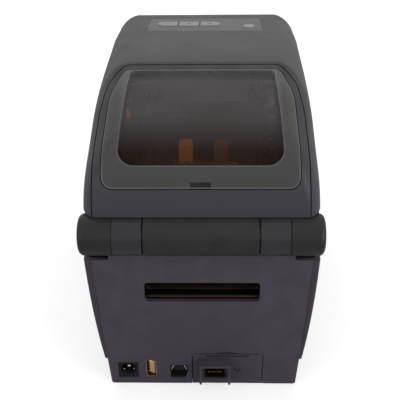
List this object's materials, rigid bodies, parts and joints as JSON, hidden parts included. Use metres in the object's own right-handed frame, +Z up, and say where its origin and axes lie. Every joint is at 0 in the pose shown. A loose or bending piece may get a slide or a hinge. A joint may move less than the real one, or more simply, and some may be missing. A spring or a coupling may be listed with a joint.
{
  "type": "label printer",
  "caption": "Compact desktop thermal label printer with a rear-hinged clamshell lid, label window, driven platen, sliding label guides, side release latch and rear ports.",
  "frame": {"origin": "on the table under the centre of the overall box", "axes": "+Z up, +Y to the rear with the ports and the hinge, +X to the side of the power inlet"},
  "size_m": [0.113, 0.2205, 0.151],
  "materials": {
    "case_dark": "fine spark-eroded grain",
    "skirt_grey": "fine spark-eroded grain",
    "panel_purple_grey": "fine spark-eroded grain",
    "cover_grey": "fine satin grain",
    "frame_dark": "fine satin grain",
    "barrel_black": "satin",
    "clear_smoke": "clear smoked acrylic",
    "window_tint": "tinted, half matt border",
    "control_grey": "satin",
    "button_grey": "satin key caps",
    "power_lens": "frosted light ring",
    "amber": "translucent amber moulding",
    "inner_black": "matt",
    "foot_rubber": "matt",
    "platen_rubber": "ground",
    "steel": "bright drawn",
    "zinc_screw": "zinc plated",
    "bronze": "sintered bearing metal",
    "sink_aluminium": "extruded",
    "head_ceramic": "glazed ceramic",
    "board_green": "solder mask",
    "socket_metal": "tinned shell",
    "socket_black": "moulded",
    "gear_white": "acetal",
    "motor_steel": "black can"
  },
  "bodies": {
    "base": {"base_tray": "case_dark", "rubber_feet": "foot_rubber", "case_screws": "zinc_screw", "body_housing": "skirt_grey", "front_bezel": "case_dark", "tear_bar": "steel", "rear_panel": "panel_purple_grey", "slot_chute": "inner_black", "dc_socket": "socket_black", "usb_host_socket": "socket_metal", "usb_device_socket": "socket_black", "main_board": "board_green", "lan_panel": "panel_purple_grey", "lan_jack": "socket_metal", "media_well": "inner_black", "label_stop_bar": "amber", "print_chassis": "case_dark", "stepper_motor": "motor_steel", "motor_screws": "zinc_screw", "idler_pin": "steel", "platen_bearings": "bronze", "sensor_rod": "steel", "latch_springs": "steel", "hinge_shaft": "steel", "hinge_knuckle_centre": "barrel_black"},
    "lid": {"hinge_arms": "barrel_black", "hinge_caps": "barrel_black", "rear_frame": "frame_dark", "top_cover": "cover_grey", "window_panel": "window_tint", "window_pane": "clear_smoke", "window_clip": "inner_black", "lid_chassis": "control_grey", "head_pivot_rod": "steel", "head_springs": "steel", "control_panel": "control_grey", "power_light": "power_lens", "switch_board": "board_green", "latch_strikes": "steel"},
    "head_carrier": {"head_bracket": "steel", "head_heat_sink": "sink_aluminium", "print_head": "head_ceramic"},
    "platen": {"platen_shaft": "steel", "platen_roller": "platen_rubber", "platen_gear": "gear_white"},
    "idler": {"idler_gear": "gear_white"},
    "motor_rotor": {"motor_pinion": "bronze"},
    "guide_left": {"label_guide_left": "inner_black", "guide_tab_left": "amber"},
    "guide_right": {"label_guide_right": "inner_black", "guide_tab_right": "amber"},
    "guide_gear": {"guide_pinion": "gear_white"},
    "sensor": {"media_sensor": "socket_black"},
    "latch": {"latch_bar": "steel", "release_tabs": "control_grey"},
    "pause_key": {"pause_button": "button_grey"},
    "feed_key": {"feed_button": "button_grey"},
    "cancel_key": {"cancel_button": "button_grey"},
    "power_key": {"power_button": "button_grey"}
  },
  "joints": [
    {"name": "lid_hinge", "type": "hinge", "parent": "base", "child": "lid", "pos_m": [0, 0.10035, 0.094], "axis": [-1, 0, 0], "range_deg": [0, 85]},
    {"name": "head_pivot", "type": "hinge", "parent": "lid", "child": "head_carrier", "pos_m": [0, -0.06, 0.098], "axis": [-1, 0, 0], "range_deg": [0, 5], "stiffness_Nm_per_rad": 2, "springref_deg": -14.32, "deforming": ["head_springs"]},
    {"name": "platen_spin", "type": "hinge", "parent": "base", "child": "platen", "pos_m": [0, -0.093, 0.074], "axis": [1, 0, 0], "continuous": true},
    {"name": "idler_spin", "type": "hinge", "parent": "base", "child": "idler", "pos_m": [-0.0435, -0.08199, 0.05827], "axis": [1, 0, 0], "continuous": true},
    {"name": "motor_spin", "type": "hinge", "parent": "base", "child": "motor_rotor", "pos_m": [-0.0435, -0.06813, 0.05027], "axis": [1, 0, 0], "continuous": true},
    {"name": "guide_left_slide", "type": "slide", "parent": "base", "child": "guide_left", "axis": [-1, 0, 0], "range_m": [0, 0.021]},
    {"name": "guide_right_slide", "type": "slide", "parent": "base", "child": "guide_right", "axis": [1, 0, 0], "range_m": [0, 0.021]},
    {"name": "guide_gear_spin", "type": "hinge", "parent": "base", "child": "guide_gear", "pos_m": [0, 0.033, 0.0139], "axis": [0, 0, 1], "range_deg": [0, 301]},
    {"name": "sensor_slide", "type": "slide", "parent": "base", "child": "sensor", "axis": [1, 0, 0], "range_m": [-0.021, 0.021]},
    {"name": "latch_slide", "type": "slide", "parent": "base", "child": "latch", "axis": [0, -1, 0], "range_m": [0, 0.005], "stiffness_N_per_m": 400, "springref_m": -0.01, "deforming": ["latch_springs"]},
    {"name": "pause_press", "type": "slide", "parent": "lid", "child": "pause_key", "axis": [0, 0.1171, -0.9931], "range_m": [0, 0.001], "stiffness_N_per_m": 600, "springref_m": -0.0008},
    {"name": "feed_press", "type": "slide", "parent": "lid", "child": "feed_key", "axis": [0, 0.1171, -0.9931], "range_m": [0, 0.001], "stiffness_N_per_m": 600, "springref_m": -0.0008},
    {"name": "cancel_press", "type": "slide", "parent": "lid", "child": "cancel_key", "axis": [0, 0.1171, -0.9931], "range_m": [0, 0.001], "stiffness_N_per_m": 600, "springref_m": -0.0008},
    {"name": "power_press", "type": "slide", "parent": "lid", "child": "power_key", "axis": [0, 0.1171, -0.9931], "range_m": [0, 0.001], "stiffness_N_per_m": 600, "springref_m": -0.0008}
  ],
  "couplings": [
    {"joint": "idler_spin", "follows": "platen_spin", "ratio": -0.6},
    {"joint": "motor_spin", "follows": "platen_spin", "ratio": 1.8},
    {"joint": "guide_right_slide", "follows": "guide_left_slide", "ratio": 1},
    {"joint": "guide_gear_spin", "follows": "guide_left_slide", "rad_per_m": 250}
  ]
}
